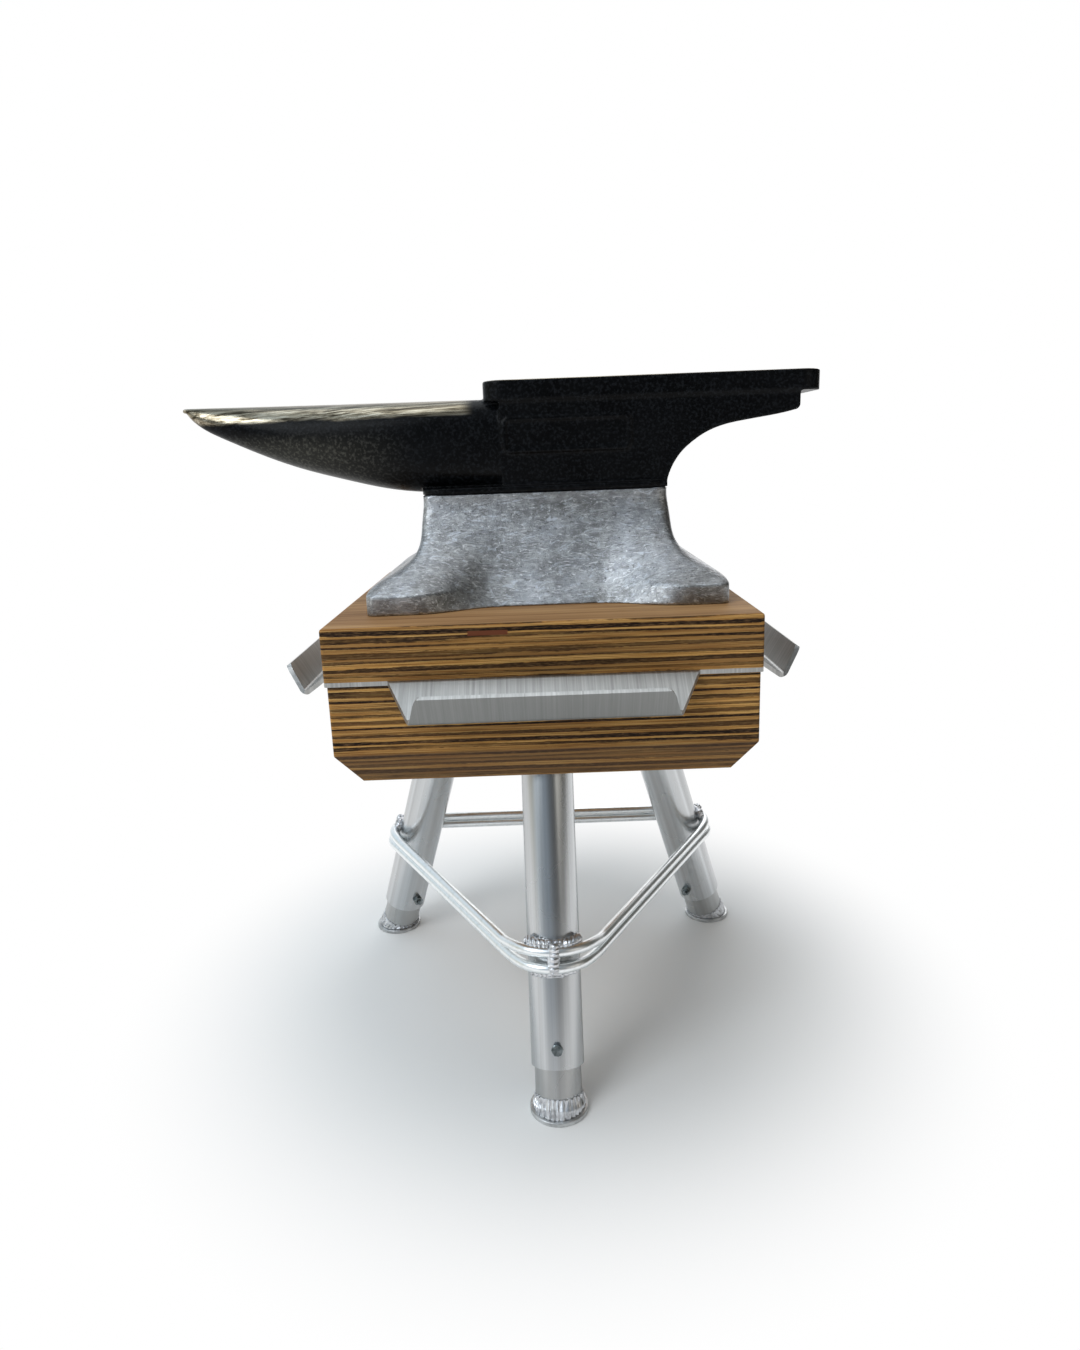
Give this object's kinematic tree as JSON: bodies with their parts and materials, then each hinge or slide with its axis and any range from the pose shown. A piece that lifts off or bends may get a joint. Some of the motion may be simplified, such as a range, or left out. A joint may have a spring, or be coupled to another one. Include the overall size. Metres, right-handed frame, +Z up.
{
  "type": "anvil stand",
  "caption": "Tripod anvil stand with a bevelled plywood block, bent sheet tool trays, a ring brace and telescoping legs, carrying an anvil with an iron top on an aluminium base.",
  "frame": {"origin": "middle of the bounding box on the floor", "axes": "+Z up, +X along the anvil from horn to heel, front leg towards -Y"},
  "size_m": [0.6379, 0.5108, 0.666],
  "materials": {
    "plywood": "oiled thick plywood, plies showing on the edges",
    "brushed_sheet": "brushed aluminium sheet",
    "drawn_tube": "mill finish drawn tube",
    "foot_plate": "cut plate, dull",
    "bright_rod": "drawn rod, satin",
    "weld_bead": "rippled weld metal",
    "zinc_fastener": "zinc plated",
    "cast_aluminium": "sand cast, scratched",
    "black_iron": "satin black coated casting, horn top and face ground bright"
  },
  "bodies": {
    "stand": {"top_board": "plywood", "middle_board": "plywood", "bottom_board": "plywood", "tray_plate": "brushed_sheet", "leg_tube_front": "drawn_tube", "leg_tube_left": "drawn_tube", "leg_tube_right": "drawn_tube", "leg_top_welds": "weld_bead", "lock_bolts": "zinc_fastener", "lock_nuts": "zinc_fastener", "ring_rod_upper": "bright_rod", "ring_rod_lower": "bright_rod", "ring_welds": "weld_bead", "block_screws": "zinc_fastener", "block_washers": "zinc_fastener", "anvil_base": "cast_aluminium", "anvil_top": "black_iron", "anvil_joining_bolts": "zinc_fastener", "anvil_hold_down_screws": "zinc_fastener"},
    "leg_front": {"inner_tube_front": "drawn_tube", "foot_disc_front": "foot_plate", "foot_weld_front": "weld_bead"},
    "leg_left": {"inner_tube_left": "drawn_tube", "foot_disc_left": "foot_plate", "foot_weld_left": "weld_bead"},
    "leg_right": {"inner_tube_right": "drawn_tube", "foot_disc_right": "foot_plate", "foot_weld_right": "weld_bead"}
  },
  "joints": [
    {"name": "leg_front_slide", "type": "slide", "parent": "stand", "child": "leg_front", "axis": [0, -0.319, -0.9478], "range_m": [0, 0.1]},
    {"name": "leg_left_slide", "type": "slide", "parent": "stand", "child": "leg_left", "axis": [-0.2762, 0.1595, -0.9478], "range_m": [0, 0.1]},
    {"name": "leg_right_slide", "type": "slide", "parent": "stand", "child": "leg_right", "axis": [0.2762, 0.1595, -0.9478], "range_m": [0, 0.1]}
  ]
}
